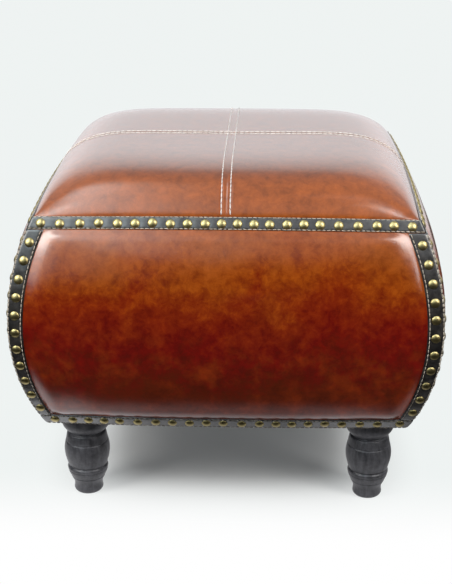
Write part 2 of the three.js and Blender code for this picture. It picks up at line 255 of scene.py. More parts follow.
def corner_band(angle, side):
    """The width of the strip beside a corner seam. It grows wider upwards."""
    width, taper = CORNER_BANDS[side]
    return width * (1 + taper * math.sin(angle))


def finer_at_ends(share):
    """Grid lines from -1 to 1 that lie closer together near the ends."""
    return (1 + FINER_ENDS) * share - FINER_ENDS * share**3


def between(ends, share):
    return ends[0] + (ends[1] - ends[0]) * share


def roll(distance, width, fullness=2):
    """Rises from 0 at a strip's edge to 1 where the leather lies free."""
    return 1 - (1 - min(max(distance / width, 0), 1)) ** fullness


def mesh_of(bm, name):
    mesh = bpy.data.meshes.new(name)
    bm.to_mesh(mesh)
    bm.free()
    return mesh


def new_piece(name, bm, material):
    """An object from a bmesh, smooth shaded, with its place in its mesh."""
    mesh = mesh_of(bm, name)
    mesh.materials.append(material)
    mesh.shade_smooth()
    piece = bpy.data.objects.new(name, mesh)
    bpy.context.scene.collection.objects.link(piece)
    return piece


def side_turn(turn):
    """Turns a piece of the front to another side."""
    return Matrix.Rotation(turn * math.pi / 2, 4, "Z")


def on_side_of(turn, front_piece, name):
    """The front piece itself, or its copy on another side."""
    if turn == 0:
        return front_piece
    piece = bpy.data.objects.new(name, front_piece.data.copy())
    bpy.context.scene.collection.objects.link(piece)
    piece.data.transform(side_turn(turn))
    return piece


def subdivide(piece):
    smooth = piece.modifiers.new("subdivision", "SUBSURF")
    smooth.levels = smooth.render_levels = 1


def closed_grid(columns, rows):
    """Two square sheets of faces, one over the other, closed round their edges.
    Their vertices lie at -1 to 1 in X and Y, at 0 in Z behind and at 1 in front."""
    bm = bmesh.new()
    bmesh.ops.create_grid(bm, x_segments=columns, y_segments=rows, size=1)
    swept = bmesh.ops.extrude_face_region(bm, geom=bm.faces[:], use_keep_orig=True)
    front = [v for v in swept["geom"] if isinstance(v, bmesh.types.BMVert)]
    bmesh.ops.translate(bm, verts=front, vec=(0, 0, 1))
    return bm


def in_front(v):
    """Whether a vertex of a closed grid is on its front sheet."""
    return v.co.z > 0.5


def stuff(piece, held, cap, slack):
    """Blows the piece up as cloth, with some of its vertices held, and moves none of them further than cap.
    The fine wrinkles of the blown cloth are left out, as leather over foam has none."""
    start = [v.co.copy() for v in piece.data.vertices]
    group = piece.vertex_groups.new(name="held")
    group.add(held, 1, "REPLACE")
    cloth = piece.modifiers.new("stuffing", "CLOTH")
    for name, value in CLOTH.items():
        setattr(cloth.settings, name, value)
    cloth.settings.shrink_min = -slack
    cloth.settings.effector_weights.gravity = 0
    cloth.collision_settings.use_collision = False
    for step in range(CLOTH_STEPS):
        bpy.context.scene.frame_set(step + 1)
    blown = piece.evaluated_get(bpy.context.evaluated_depsgraph_get())
    moved = [v.co.copy() for v in blown.to_mesh().vertices]
    blown.to_mesh_clear()
    piece.modifiers.remove(cloth)
    piece.vertex_groups.remove(group)
    bpy.context.scene.frame_set(1)
    shifts = []
    for before, after in zip(start, moved):
        far = (after - before).length
        shifts.append((after - before) * (cap * math.tanh(far / cap) / max(far, 1e-9)))
    around = [[] for _ in start]
    for edge in piece.data.edges:
        first, second = edge.vertices
        around[first].append(second)
        around[second].append(first)
    for _ in range(SMOOTHING):
        shifts = [sum((shifts[j] for j in near), Vector()) / len(near) for near in around]
        for i in held:
            shifts[i] = Vector()
    for vertex, before, shift in zip(piece.data.vertices, start, shifts):
        vertex.co = before + shift


def calculated(tree, operation, *values):
    """The result of a Math node."""
    return add_node(tree, "ShaderNodeMath", dict(enumerate(values)), operation=operation).outputs["Value"]


def masked(tree, *masks):
    """The product of several masks."""
    whole = masks[0]
    for mask in masks[1:]:
        whole = calculated(tree, "MULTIPLY", whole, mask)
    return whole


def ranged(tree, value, low, high, to_low=0, to_high=1, kind="LINEAR"):
    """Goes from to_low at low to to_high at high."""
    inputs = {"Value": value, "From Min": low, "From Max": high, "To Min": to_low, "To Max": to_high}
    return add_node(tree, "ShaderNodeMapRange", inputs, interpolation_type=kind).outputs["Result"]


def eased(tree, value, low, high):
    """Rises smoothly from 0 at low to 1 at high, or the other way where high is lower."""
    return ranged(tree, value, low, high, kind="SMOOTHSTEP")


def axes_of(tree, place):
    """The X, Y and Z of coordinates."""
    return add_node(tree, "ShaderNodeSeparateXYZ", {0: place}).outputs


def vectored(tree, operation, *vectors):
    """The outputs of a Vector Math node."""
    return add_node(tree, "ShaderNodeVectorMath", dict(enumerate(vectors)), operation=operation).outputs


def scaled(tree, color, share):
    """A colour times a value."""
    inputs = {0: color, "Scale": share}
    return add_node(tree, "ShaderNodeVectorMath", inputs, operation="SCALE").outputs["Vector"]


def mixed(tree, mask, under, over, kind="RGBA"):
    """Changes from under to over where the mask is 1."""
    inputs = {"Factor": mask, "A": under, "B": over}
    return add_node(tree, "ShaderNodeMix", inputs, data_type=kind).outputs["Result"]


def leather_grain_group():
    """The pebbled grain of a hide, as a height. Fine creases run between small raised cells."""
    group, vector, scale, height = effect_group("leather grain", "Height")
    warp = scaled(group, cloudy(group, vector, scale, 2, result="Color"), 0.0012)
    inputs = {"Vector": vectored(group, "ADD", vector, warp)["Vector"], "Scale": scale}
    cells = add_node(group, "ShaderNodeTexVoronoi", inputs, feature="DISTANCE_TO_EDGE").outputs["Distance"]
    crease = eased(group, cells, 0, 0.25)
    waves = cloudy(group, vector, calculated(group, "MULTIPLY", scale, 0.3), 3)
    group.links.new(calculated(group, "MULTIPLY_ADD", waves, 1.5, crease), height)
    return group


leather_grain = leather_grain_group()


def brown_leather():
    """Cloudy brown leather under a clear gloss finish, with painted shade: darker and redder towards the
    floor.
    """
    material, tree, surface, place = new_material("glossy brown leather")
    height = axes_of(tree, place)["Z"]
    clouds = cloudy(tree, place, 13, 4, roughness=0.55, distortion=0.4)
    mottle = cloudy(tree, place, 70, 8, roughness=0.75, distortion=0.3)
    level = height
    for drifting, drift in ((clouds, CLOUD_DRIFT), (mottle, MOTTLE_DRIFT)):
        level = calculated(tree, "ADD", level, ranged(tree, drifting, 0, 1, -drift, drift))
    spots = eased(tree, cloudy(tree, place, 30, 6, roughness=0.65, distortion=0.15), 0.44, 0.70)
    worn_low = masked(tree, spots, eased(tree, height, *WORN_LOW))
    # The colour by height is painted shade towards the floor, over the leather's own brown.
    dye_and_painted_shade = mixed(tree, worn_low, color_ramp(tree, level, HIDE_DYE_AND_PAINTED_SHADE), WORN_DYE)
    wear = ranged(tree, mottle, 0.35, 0.65, *MOTTLE_SHADE)
    # Painted shade: the flat of the seat is drawn darker than the sides.
    painted_top_shade = calculated(tree, "MULTIPLY_ADD", eased(tree, height, *SEAT_FLAT), -SEAT_PAINTED_SHADE, 1)
    color = scaled(tree, dye_and_painted_shade, masked(tree, wear, painted_top_shade))
    finished(tree, surface, color, 0.3, coat=1, coat_roughness=0.13, coat_ior=1.75)
    grain = effect(tree, leather_grain, place, HIDE_GRAIN_SCALE)
    normal = bumped(tree, surface, grain, strength=0.14, distance=0.0002)
    connect(tree, surface, {"Specular IOR Level": 0.12, "Coat Normal": normal})
    return material


hide = brown_leather()


def side_cushion():
    """The leather and foam of the front, and the vertices that its strips hold down."""
    bm = closed_grid(SIDE_COLUMNS, SIDE_ROWS)
    held = []
    for v in bm.verts:
        across, up = finer_at_ends(v.co.x), (finer_at_ends(v.co.y) + 1) / 2
        angle = between((BASE_ANGLE, top_angle(across) - COVER_TOP / ARC_RADIUS), up)
        from_corner = (1 - abs(across)) * seam_half(angle) - corner_band(angle, 1 if across > 0 else -1)
        from_top = (top_angle(across) - angle) * ARC_RADIUS - BAND_WIDTH
        from_base = (angle - BASE_ANGLE) * ARC_RADIUS - BAND_WIDTH
        free = roll(from_corner, between(CORNER_ROLL, up), between(CORNER_FULLNESS, up))
        free = free * roll(from_top, TOP_ROLL) * roll(from_base, BASE_ROLL)
        if not in_front(v) or min(from_corner, from_top, from_base) < HELD_EDGE:
            held.append(v.index)
        across *= 1 - GAP / seam_half(angle)
        if in_front(v):
            v.co = on_side(across, angle, SIDE_PUFF * free)
        else:
            v.co = on_side(across, angle, PAD_BACK, crowned=False)
    bmesh.ops.recalc_face_normals(bm, faces=bm.faces)
    return bm, held


bm, held = side_cushion()
front_cushion = new_piece("front_cushion", bm, hide)
stuff(front_cushion, held, cap=0.0018, slack=0.001)
for turn, side in enumerate(SIDES):
    cushion = on_side_of(turn, front_cushion, side + "_cushion")
    subdivide(cushion)
    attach(cushion, "root")
    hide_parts(side + "_cover", side + "_pad")


# Seat cushion
# Four quarters of the same leather are sewn together over thick foam. The seam allowances are pressed
# open and stitched down on both sides of each seam, so the seams lie in a shallow furrow.
SEAT_CROWN = 0.048
SEAT_SQUARENESS = 7
SEAT_FULLNESS = 0.93
SEAT_BOTTOM = 0.3728
SEAT_BOTTOM_SHARE = 0.98  # the foam is this much narrower underneath
SEAT_PUFF = 0.0024
SEAT_PUFF_CLIMB = 0.55  # how much the puff rises where it goes outwards by 1
SEAT_ROLL = 0.016
SEAT_CALM = 0.1  # the puff fades out over this distance inwards of the rolled edge
SEAT_HEM = 0.0026  # the leather goes this far down behind the top strips
SEAT_LINES = 104
FINER_SEAMS = 0.55
SEAM_HELD = 0.007  # the seams hold the leather this far beside them
EDGE_HELD = 0.995  # and the top strips from this share of the way to the edge
SEAM_REFINED = 0.009  # the mesh is finer this far beside the seams
SEAT_TOP = SEAM_HEIGHT - 0.002  # the top of the seat is what lies above this
SEAT_UNDERSIDE = SEAT_BOTTOM + 0.0005  # and its underside what lies below this
SEAM_FURROW = 0.0004
SEAM_FURROW_WIDTH = 0.0013
SEAM_PRESS = 0.0002  # how far a row of stitches presses the leather down
SEAM_PRESS_WIDTH = 0.0016
STITCH_ROW = 0.0051  # from a seam to the rows of stitches on both sides of it


def on_seat(u, v):
    """A point of the seat, with u along X and v along Y, each from -1 to 1 at the top seam."""

    def reach(share):
        return -on_side(share, top_angle(share), 0).y

    def rise(share):
        return (1 - min(abs(share), 1) ** SEAT_SQUARENESS) ** SEAT_FULLNESS

    def seam(share):
        return ARC_RADIUS * (math.sin(top_angle(share)) - math.sin(top_angle(1)))

    height = SEAM_HEIGHT + seam(u) * v * v + seam(v) * u * u + SEAT_CROWN * rise(u) * rise(v)
    return Vector((u * reach(v), v * reach(u), height))


SEAT_HALF = seam_half(top_angle(1))


def seat_point(u, v):
    """A point of the leather: the seat with its rolled edge, and its hem behind the top strips."""
    inner_u, inner_v = max(-1, min(1, u)), max(-1, min(1, v))
    point = on_seat(inner_u, inner_v)
    over = max(abs(u), abs(v), 1) - 1
    edge = min(1 - abs(inner_u), 1 - abs(inner_v)) * SEAT_HALF
    outward = Vector((inner_u**SEAT_SQUARENESS, inner_v**SEAT_SQUARENESS, SEAT_PUFF_CLIMB))
    calm = 1 - roll(edge - SEAT_ROLL, SEAT_CALM, 3)
    point += outward.normalized() * SEAT_PUFF * roll(edge, SEAT_ROLL) * calm
    point.z -= over * SEAT_HALF
    return point


def finer_at_seam(share):
    """Grid lines from -1 to 1 that lie closer together at the seam and at the edge."""
    return share - FINER_SEAMS * math.sin(2 * math.pi * share) / (2 * math.pi)


def seat_cushion():
    """The leather and foam of the seat, and the vertices that its seams and edges hold down."""
    bm = closed_grid(SEAT_LINES, SEAT_LINES)
    held = []
    for v in bm.verts:
        u, w = (finer_at_seam(share) * (1 + SEAT_HEM / SEAT_HALF) for share in v.co.xy)
        on_seam = min(abs(u), abs(w)) * SEAT_HALF < SEAM_HELD
        if not in_front(v) or on_seam or max(abs(u), abs(w)) > EDGE_HELD:
            held.append(v.index)
        point = seat_point(u, w)
        if not in_front(v):
            point = Vector((point.x * SEAT_BOTTOM_SHARE, point.y * SEAT_BOTTOM_SHARE, SEAT_BOTTOM))
        v.co = point
    bmesh.ops.recalc_face_normals(bm, faces=bm.faces)
    return bm, held


def beside_seam(edge):
    """Whether an edge of the mesh is on the seat's top and close to a seam."""
    near = min(abs(c) for v in edge.verts for c in v.co.xy)
    return near < SEAM_REFINED and edge.verts[0].co.z > SEAT_TOP


def furrow(distance):
    """How far the leather is drawn down at a distance from a seam."""
    near = abs(distance)
    line = SEAM_FURROW * math.exp(-((near / SEAM_FURROW_WIDTH) ** 2))
    rows = SEAM_PRESS * math.exp(-(((near - STITCH_ROW) / SEAM_PRESS_WIDTH) ** 2))
    return line + rows


bm, held = seat_cushion()
seat = new_piece("seat_cushion", bm, hide)
stuff(seat, held, cap=0.0020, slack=0.002)
bm = bmesh.new()
bm.from_mesh(seat.data)
bmesh.ops.subdivide_edges(bm, edges=[e for e in bm.edges if beside_seam(e)], cuts=1, use_grid_fill=True)
for v in bm.verts:
    if v.co.z > SEAT_UNDERSIDE:
        v.co.z -= max(furrow(v.co.x), furrow(v.co.y))
bm.to_mesh(seat.data)
bm.free()
subdivide(seat)
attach(seat, "root")
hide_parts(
    "seat_panel_front_left",
    "seat_panel_front_right",
    "seat_panel_back_right",
    "seat_panel_back_left",
    "seat_foam",
)


# Stitches of the seat
# A row of thick cream thread runs along both sides of each of the two seams, from edge to edge of the seat.
# The stitches are long, and each dips into the leather at both ends.
SEAT_STITCH_LENGTH = 0.0071
SEAT_STITCH_PITCH = 0.0066
SEAT_STITCH_TWIST = 0.07
SEAT_THREAD_RADIUS = 0.00065
SEAT_THREAD_LIFT = 0.5  # the middle of a stitch is this share of its radius over the leather
SEAT_THREAD_COLORS = ((0.86, 0.81, 0.75, 1), (0.93, 0.89, 0.84, 1))  # soiled and clean
SEARCH_STEP = 0.0002
SEARCH_START = 0.001  # the search for places of stitches starts this far outside the seat
ABOVE_SEAT = 0.6


def thread_material(name, soiled, clean):
    """Waxed thread, a little soiled, with painted shade that darkens it towards the floor."""
    material, tree, surface, place = new_material(name)
    color = color_ramp(tree, cloudy(tree, place, 300, 3), [(0.35, soiled), (0.55, clean)])
    height = axes_of(tree, place)["Z"]
    # Painted shade: the thread is drawn darker towards the floor.
    shade = calculated(tree, "MULTIPLY_ADD", eased(tree, height, 0.12, 0.27), 0.7, 0.3)
    finished(tree, surface, scaled(tree, color, shade), 0.6, coat=0.5, coat_roughness=0.3)
    bumped(tree, surface, cloudy(tree, place, 2500, 1), strength=0.6, distance=0.0002)
    return material


thread = thread_material("cream thread", *SEAT_THREAD_COLORS)


def one_stitch(length, radius, smoothness):
    """The shape of one stitch along X, to be placed many times."""
    bm = bmesh.new()
    bmesh.ops.create_icosphere(bm, subdivisions=smoothness, radius=1)
    bmesh.ops.scale(bm, verts=bm.verts, vec=(length / 2, radius, radius))
    return mesh_of(bm, "one stitch")


def put(bm, shape, matrix):
    """Adds a shape to a bmesh at a place."""
    start = len(bm.verts)
    bm.from_mesh(shape)
    bm.verts.ensure_lookup_table()
    bmesh.ops.transform(bm, matrix=matrix, verts=bm.verts[start:])


def placed(point, along, outward, twist):
    """A place with X along a line and Z out of the surface, and a twist round Z."""
    x = along.normalized()
    y = outward.cross(x).normalized()
    turn = Matrix((x, y, x.cross(y))).transposed().to_4x4()
    return Matrix.Translation(point) @ turn @ Matrix.Rotation(twist, 4, "Z")


chance = random.Random(7)
bpy.context.view_layer.update()
seat_now = seat.evaluated_get(bpy.context.evaluated_depsgraph_get())
stitch = one_stitch(SEAT_STITCH_LENGTH, SEAT_THREAD_RADIUS, 2)
bm = bmesh.new()
reach = -on_side(0, top_angle(0), 0).y
for along in (Vector((0, 1, 0)), Vector((1, 0, 0))):
    for row in (-STITCH_ROW, STITCH_ROW):
        at, last = -reach - SEARCH_START, None
        while at < reach:
            above = along * at + along.yxz * row + Vector((0, 0, ABOVE_SEAT))
            _, spot, normal, _ = seat_now.ray_cast(above, Vector((0, 0, -1)))
            if last is not None and (spot - last).length < SEAT_STITCH_PITCH:
                at += SEARCH_STEP
                continue
            last = spot
            line = (along - normal * along.dot(normal)).normalized()
            lift = spot + normal * SEAT_THREAD_RADIUS * SEAT_THREAD_LIFT
            twist = chance.uniform(-SEAT_STITCH_TWIST, SEAT_STITCH_TWIST)
            put(bm, stitch, placed(lift, line, normal, twist))
            at += SEAT_STITCH_PITCH * 0.5
seat_stitches = new_piece("seat_stitches", bm, thread)
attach(seat_stitches, "root")


# Black strips
# Strips of black leather with turned edges cover the seams and the edges of all four sides.
# The nails pull them down a little, so they swell between one nail and the next.
BAND_BACK = 0.0003
BAND_THICK = 0.0016
BAND_EDGE = 0.0001  # its least thickness
BAND_SQUARENESS = 7
BAND_FULLNESS = 0.4
BAND_DIMPLE = 0.0005
BAND_DIMPLE_WIDTH = 0.0075
BAND_WAVER = 0.0003
BAND_WAVER_SCALE = 45
LONG_COLUMNS = 170
SHORT_COLUMNS = 100
BAND_ROWS = 12
BAND_BLACK = (0.008, 0.007, 0.007, 1)
BAND_WORN = (0.052, 0.047, 0.042, 1)
BAND_GRAIN_SCALE = 800
NAIL_PITCH_ACROSS = 0.0204
NAIL_PITCH_CORNER = 0.022
NAIL_END_INSET = 0.013
NAIL_CORNER_SHARE = 0.48  # nails beside a corner: from the seam, as a share of their strip's width
NAIL_TOP_INSET = 0.0084  # from the top seam to the nails of the top strip
TOP_DRIFT = [(-1, 0), (-0.62, 7.9), (-0.14, 7.4), (0.14, 2.3), (0.52, -3.3), (0.8, 0.6), (1, 0)]
BOTTOM_DRIFT = [
    (-1, 0), (-0.9, 1.5), (-0.6, -3.5), (-0.4, -1.5), (0, -2.8), (0.2, -1), (0.6, -6.7), (0.9, -5.4), (1, 0)
]  # along a strip from -1 to 1, how many millimetres the nails were driven beside their even places


def black_leather():
    """Black leather, rubbed greyish in cloudy patches."""
    material, tree, surface, place = new_material("black strip leather")
    rubbed = cloudy(tree, place, 90, 6, roughness=0.7)
    color = color_ramp(tree, rubbed, [(0.42, BAND_BLACK), (0.72, BAND_WORN)])
    finished(tree, surface, color, 0.36, coat=1, coat_roughness=0.22, coat_ior=1.75)
    bumped(tree, surface, effect(tree, leather_grain, place, BAND_GRAIN_SCALE), strength=0.5, distance=0.0002)
    return material


strip_leather = black_leather()


def corner_inset(inset, side, angle):
    return side * (1 - inset / seam_half(angle))


def top_line(share, width):
    """The top strip: share runs along it from -1 to 1, and width across it from 0 at its lower edge to 1."""
    return share, top_angle(share) - BAND_WIDTH / ARC_RADIUS * (1 - width)


def bottom_line(share, width):
    return share, BASE_ANGLE + BAND_WIDTH / ARC_RADIUS * width


def corner_line(side):
    def line(share, width):
        low = BASE_ANGLE + (BAND_WIDTH + GAP) / ARC_RADIUS
        high = top_angle(1) - (BAND_WIDTH + GAP) / ARC_RADIUS
        angle = low + (high - low) * (share + 1) / 2
        inset = corner_band(angle, side) * ((1 - width) if side > 0 else width)
        return corner_inset(inset, side, angle), angle

    return line


def drifted(share, drift):
    """How far, in metres, a nail was driven beside its even place."""
    for (start, before), (end, after) in zip(drift, drift[1:]):
        if share <= end:
            return (before + (after - before) * (share - start) / (end - start)) / 1000


def nail_lines():
    """The places of a face's nails as (across, angle), strip by strip."""
    middle_of_base = BASE_ANGLE + BAND_WIDTH / 2 / ARC_RADIUS

    def middle_of_top(across):
        return top_angle(across) - NAIL_TOP_INSET / ARC_RADIUS

    def row(angle_of, drift):
        half = seam_half(angle_of(1))
        end = half - NAIL_END_INSET
        count = round(2 * end / NAIL_PITCH_ACROSS)
        even = [2 * i / count - 1 for i in range(count + 1)]
        shares = [(end * share + drifted(share, drift)) / half for share in even]
        return [(share, angle_of(share)) for share in shares]

    rise = middle_of_top(1) - middle_of_base
    count = round(ARC_RADIUS * rise / NAIL_PITCH_CORNER)
    angles = [middle_of_base + rise * i / count for i in range(1, count)]

    def corner(side):
        return [(corner_inset(corner_band(a, side) * NAIL_CORNER_SHARE, side, a), a) for a in angles]

    return {
        "top": row(middle_of_top, TOP_DRIFT),
        "bottom": row(lambda _: middle_of_base, BOTTOM_DRIFT),
        "left": corner(-1),
        "right": corner(1),
    }


NAILS = nail_lines()
STRIPS = {"top": top_line, "bottom": bottom_line, "left": corner_line(-1), "right": corner_line(1)}


def strip_profile(width):
    """The height of a strip over its back at width, 0 to 1 across it."""
    off = abs(2 * width - 1)
    return BAND_THICK * (1 - off**BAND_SQUARENESS) ** BAND_FULLNESS


def strip(name):
    """One strip of the front, drawn down round its nails."""
    long = name in ("top", "bottom")
    bm = closed_grid(LONG_COLUMNS if long else SHORT_COLUMNS, BAND_ROWS)
    nails = [on_side(across, angle, 0) for across, angle in NAILS[name]]
    end = 1 - GAP / seam_half(BASE_ANGLE)
    for v in bm.verts:
        share, width = v.co.x * (end if long else 1), (math.sin(v.co.y * math.pi / 2) + 1) / 2
        across, angle = STRIPS[name](share, width)
        across = max(-end, min(end, across))
        out = BAND_BACK
        if in_front(v):
            spot = on_side(across, angle, 0)
            near = min((spot - nail).length for nail in nails)
            dimple = BAND_DIMPLE * math.exp(-((near / BAND_DIMPLE_WIDTH) ** 2))
            waver = noise.noise(spot * BAND_WAVER_SCALE) * BAND_WAVER
            out = max(out + (strip_profile(width) - dimple + waver), BAND_BACK + BAND_EDGE)
        v.co = on_side(across, angle, out)
    bmesh.ops.recalc_face_normals(bm, faces=bm.faces)
    return bm


for name in STRIPS:
    front_strip = new_piece("front_" + name + "_strip", strip(name), strip_leather)
    for turn, side in enumerate(SIDES):
        piece = on_side_of(turn, front_strip, side + "_" + name + "_strip")
        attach(piece, "root")
        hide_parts(side + "_" + name + "_band")


# Stitches of the strips
# A row of tan thread runs along both edges of every strip, and holds its turned edges down.
STRIP_STITCH_LENGTH = 0.0058
STRIP_STITCH_PITCH = 0.0055
STRIP_STITCH_TWIST = 0.09
STRIP_THREAD_RADIUS = 0.0005
STRIP_THREAD_LIFT = 0.3
STRIP_STITCH_ROWS = (0.06, 0.94)  # across a strip
STRIP_STITCH_END = 0.002  # from the end of a strip to its stitches
STRIP_THREAD_COLORS = ((0.44, 0.37, 0.27, 1), (0.76, 0.69, 0.58, 1))
LOOK_AHEAD = 0.005  # the next point along a strip that gives a stitch its direction
LOOK_OUT = 0.001

strip_thread = thread_material("tan thread", *STRIP_THREAD_COLORS)
stitch = one_stitch(STRIP_STITCH_LENGTH, STRIP_THREAD_RADIUS, 1)
bm = bmesh.new()
for name, line in STRIPS.items():
    for width in STRIP_STITCH_ROWS:
        span = (on_side(*line(1, width), 0) - on_side(*line(-1, width), 0)).length
        if name in ("left", "right"):
            span = ARC_RADIUS * (line(1, width)[1] - line(-1, width)[1])
        count = int((span - 2 * STRIP_STITCH_END) / STRIP_STITCH_PITCH)
        lift = BAND_BACK + strip_profile(width) + STRIP_THREAD_RADIUS * STRIP_THREAD_LIFT
        for i in range(count):
            share = ((2 * i + 1) / count - 1) * (1 - STRIP_STITCH_END / span)
            across, angle = line(share, width)
            spot = on_side(across, angle, lift)
            ahead = on_side(*line(share + LOOK_AHEAD, width), lift) - spot
            outward = on_side(across, angle, lift + LOOK_OUT) - spot
            twist = chance.uniform(-STRIP_STITCH_TWIST, STRIP_STITCH_TWIST)
            put(bm, stitch, placed(spot, ahead, outward.normalized(), twist))
front_stitches = new_piece("front_strip_stitches", bm, strip_thread)
for turn, side in enumerate(SIDES):
    piece = on_side_of(turn, front_stitches, side + "_strip_stitches")
    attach(piece, "root")


# Upholstery nails
# Round brass heads, 11.6 mm across, are driven through the middle of the strips about every 20 mm.
# They are antiqued: polished on the crown, dark round the rim. None sits quite straight.
NAIL_RADIUS = 0.0058
NAIL_HEIGHT = 0.0028
NAIL_LIFT = 0.0012
NAIL_OUTLINE = [(0, 0), (1, 0), (1, 0.1), (0.93, 0.34), (0.76, 0.62), (0.5, 0.86), (0.24, 0.97), (0, 1)]
NAIL_STEPS = 12
NAIL_STRAY = (0.0004, 0.0003)  # how far a nail is off its line, along and across it
NAIL_TILT = 0.045
NAIL_LOOK = 0.01  # the next points of the side that give a nail its direction
BRASS_BRIGHT = (0.50, 0.415, 0.19, 1)
BRASS_DARK = (0.17, 0.135, 0.05, 1)


def antique_brass():
    """Brass, darker towards the rim of a head by the height on its vertices, with painted shade towards the
    floor.
    """
    material, tree, surface, place = new_material("antique brass")
    crown = add_node(tree, "ShaderNodeAttribute", attribute_name="crown").outputs["Fac"]
    tarnish = cloudy(tree, place, 260, 4, roughness=0.65)
    polish = calculated(tree, "MULTIPLY_ADD", tarnish, 0.7, crown)
    color = color_ramp(tree, polish, [(0.30, BRASS_DARK), (0.80, BRASS_BRIGHT)])
    height = axes_of(tree, place)["Z"]
    # Painted shade: the brass is drawn darker towards the floor.
    brass_painted_shade = calculated(tree, "MULTIPLY_ADD", eased(tree, height, 0.15, 0.28), 0.3, 0.7)
    rough = ranged(tree, polish, 0.4, 1.2, 0.46, 0.38)
    finished(tree, surface, scaled(tree, color, brass_painted_shade), rough, metallic=1)
    bumped(tree, surface, tarnish, strength=0.25, distance=0.0003)
    return material


brass = antique_brass()


def spin_line(bm, line, steps):
    """Spins a line of vertices round Z, and closes the shape."""
    edges = [bm.edges.new(pair) for pair in zip(line, line[1:])]
    bmesh.ops.spin(
        bm, geom=line + edges, axis=(0, 0, 1), cent=(0, 0, 0), steps=steps, angle=2 * math.pi, use_merge=True
    )
    bmesh.ops.remove_doubles(bm, verts=bm.verts, dist=1e-6)
    bmesh.ops.recalc_face_normals(bm, faces=bm.faces)


def one_nail():
    """A nail head over the XY plane, spun from its outline, with its height kept on its vertices."""
    bm = bmesh.new()
    crown = bm.verts.layers.float.new("crown")
    line = []
    for radius, height in NAIL_OUTLINE:
        v = bm.verts.new((radius * NAIL_RADIUS, 0, height * NAIL_HEIGHT))
        v[crown] = height
        line.append(v)
    spin_line(bm, line, NAIL_STEPS)
    return mesh_of(bm, "one nail")


nail = one_nail()
for turn, side in enumerate(SIDES):
    bm = bmesh.new()
    bm.verts.layers.float.new("crown")
    for across, angle in sum(NAILS.values(), []):
        shift = chance.gauss(0, NAIL_STRAY[0]) / seam_half(angle)
        climb = chance.gauss(0, NAIL_STRAY[1]) / ARC_RADIUS
        spot = on_side(across + shift, angle + climb, NAIL_LIFT)
        ahead = on_side(across + NAIL_LOOK, angle, NAIL_LIFT) - spot
        upward = on_side(across, angle + NAIL_LOOK, NAIL_LIFT) - spot
        outward = ahead.cross(upward).normalized()
        outward += Vector([chance.gauss(0, NAIL_TILT) for _ in range(3)])
        put(bm, nail, placed(spot, ahead, outward.normalized(), chance.uniform(0, math.pi)))
    piece = new_piece(side + "_nail_heads", bm, brass)
    piece.data.transform(side_turn(turn))
    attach(piece, "root")
    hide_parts(side + "_nails")


# Underside
# The side leather is pulled under the base and stapled. A dust cover of thin black non-woven fabric
# is stapled over it to hide the raw edges.
HEM_OUTER = 0.2177
HEM_INNER = 0.198
HEM_MARGIN = 0.001  # the middle that is cut out lies at least this far inside its outer edge
HEM_THICK = 0.0008
HEM_RISE = 0.0012  # its inner edge lies this much higher
HEM_PLEAT = 0.0003
HEM_PLEAT_SCALE = 60
HEM_CUTS = 40
COVER_HALF = 0.2045
STAPLE_COUNT = 15
STAPLE_WIDTH = 0.010
STAPLE_WIRE = 0.0007
STAPLE_INSET = 0.007  # from the edge of the dust cover
STAPLE_END = 0.012
STAPLE_SUNK = 0.0002
STAPLE_STRAY = (0.002, 0.001)  # along the edge and across it
STAPLE_TILT = 0.12


def hem():
    """A square ring of leather from the bottom edge of the sides to behind the dust cover."""
    bm = bmesh.new()
    bmesh.ops.create_grid(bm, x_segments=1, y_segments=1, size=HEM_OUTER)
    bmesh.ops.inset_region(bm, faces=bm.faces[:], thickness=HEM_OUTER - HEM_INNER)
    middle = [f for f in bm.faces if all(abs(v.co.x) < HEM_OUTER - HEM_MARGIN for v in f.verts)]
    bmesh.ops.delete(bm, geom=middle, context="FACES")
    bmesh.ops.subdivide_edges(bm, edges=bm.edges, cuts=HEM_CUTS, use_grid_fill=True)
    for v in bm.verts:
        axis = 0 if abs(v.co.x) > abs(v.co.y) else 1
        out = abs(v.co[axis])
        share = (out - HEM_INNER) / (HEM_OUTER - HEM_INNER)
        across = abs(v.co[1 - axis]) / out
        v.co[axis] += math.copysign(SEAM_CROWN * (1 - across * across) * share, v.co[axis])
        pleats = Vector((v.co.x * HEM_PLEAT_SCALE, v.co.y * HEM_PLEAT_SCALE, 0))
        v.co.z = BASE_HEIGHT + HEM_RISE * (1 - share) + noise.noise(pleats) * HEM_PLEAT * share
    bmesh.ops.recalc_face_normals(bm, faces=bm.faces)
    return bm


base_hem = new_piece("base_hem", hem(), hide)
wall = base_hem.modifiers.new("thickness", "SOLIDIFY")
wall.thickness = HEM_THICK
wall.offset = 0
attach(base_hem, "root")


def dust_fabric():
    """Black non-woven fabric with its grid of small pressed dots."""
    material, tree, surface, place = new_material("black dust fabric")
    fibers = cloudy(tree, place, 900, 4)
    color = color_ramp(tree, fibers, [(0.3, (0.008, 0.008, 0.009, 1)), (0.7, (0.03, 0.03, 0.032, 1))])
    finished(tree, surface, color, 0.9)
    dots = add_node(tree, "ShaderNodeTexVoronoi", {"Vector": place, "Scale": 700, "Randomness": 0.15})
    pressed = ranged(tree, dots.outputs["Distance"], 0.15, 0.35, 0, 1)
    bumped(tree, surface, pressed, strength=0.5, distance=0.0003)
    return material


refinish("dust_cover", dust_fabric())


def zinc_material():
    """Zinc plated steel, slightly mottled."""
    material, tree, surface, place = new_material("zinc plated steel")
    spangle = cloudy(tree, place, 400, 3)
    color = color_ramp(tree, spangle, [(0.35, (0.38, 0.39, 0.41, 1)), (0.65, (0.62, 0.63, 0.65, 1))])
    finished(tree, surface, color, ranged(tree, spangle, 0, 1, 0.3, 0.5), metallic=1)
    return material


zinc = zinc_material()


